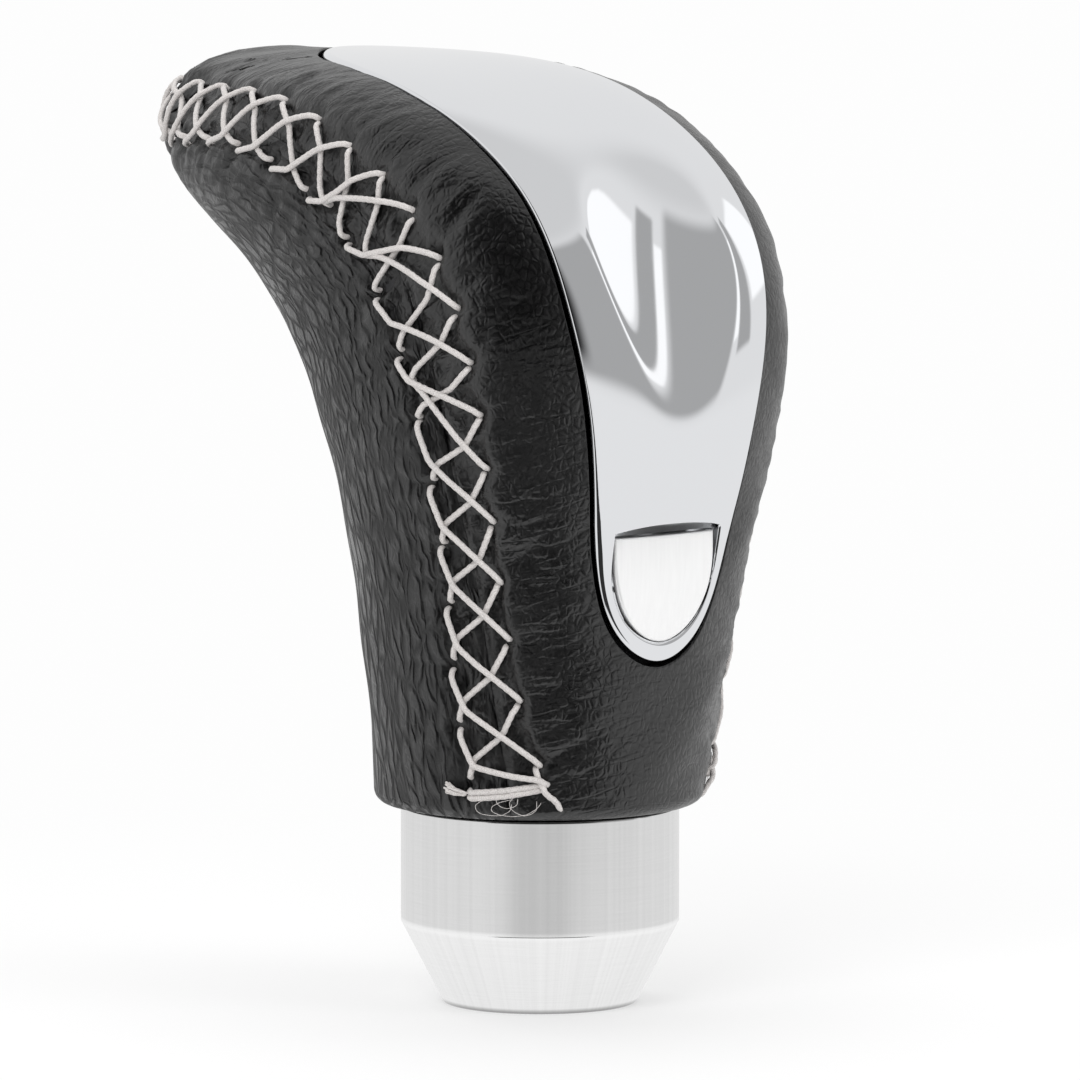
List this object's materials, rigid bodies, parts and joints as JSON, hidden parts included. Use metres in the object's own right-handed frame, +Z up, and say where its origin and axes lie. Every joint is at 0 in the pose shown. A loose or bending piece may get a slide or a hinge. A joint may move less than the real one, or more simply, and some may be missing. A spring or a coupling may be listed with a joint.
{
  "type": "gear shift knob",
  "caption": "Leather-covered gear shift knob with a swept-back head, crossed pale lacing on its side seams, a dished chrome thumb plate with a bare shield badge, and a turned aluminium collar.",
  "frame": {"origin": "on the lever's axis at the foot of the bush, level with the collar's foot", "axes": "+Z up the lever, -Y towards the chrome face, +X to the side"},
  "size_m": [0.0506, 0.079, 0.1015],
  "materials": {
    "collar_aluminium": "satin turned",
    "hub_aluminium": "as turned",
    "bush_plastic": "moulded matte",
    "screw_steel": "black oxide",
    "core_plastic": "moulded matte",
    "black_leather": "pebble grain",
    "plate_chrome": "bright plated",
    "badge_satin": "satin domed",
    "lacing_thread": "waxed twisted thread"
  },
  "bodies": {
    "knob": {"threaded_hub": "hub_aluminium", "lever_bush": "bush_plastic", "grub_screws": "screw_steel", "knob_core": "core_plastic", "rear_leather": "black_leather", "front_leather": "black_leather", "chrome_insert": "plate_chrome", "badge": "badge_satin", "seam_stitching": "lacing_thread"},
    "collar": {"collar": "collar_aluminium"}
  },
  "joints": [
    {"name": "collar_unscrew", "type": "slide", "parent": "knob", "child": "collar", "axis": [0, 0, -1], "range_m": [0, 0.03]}
  ]
}
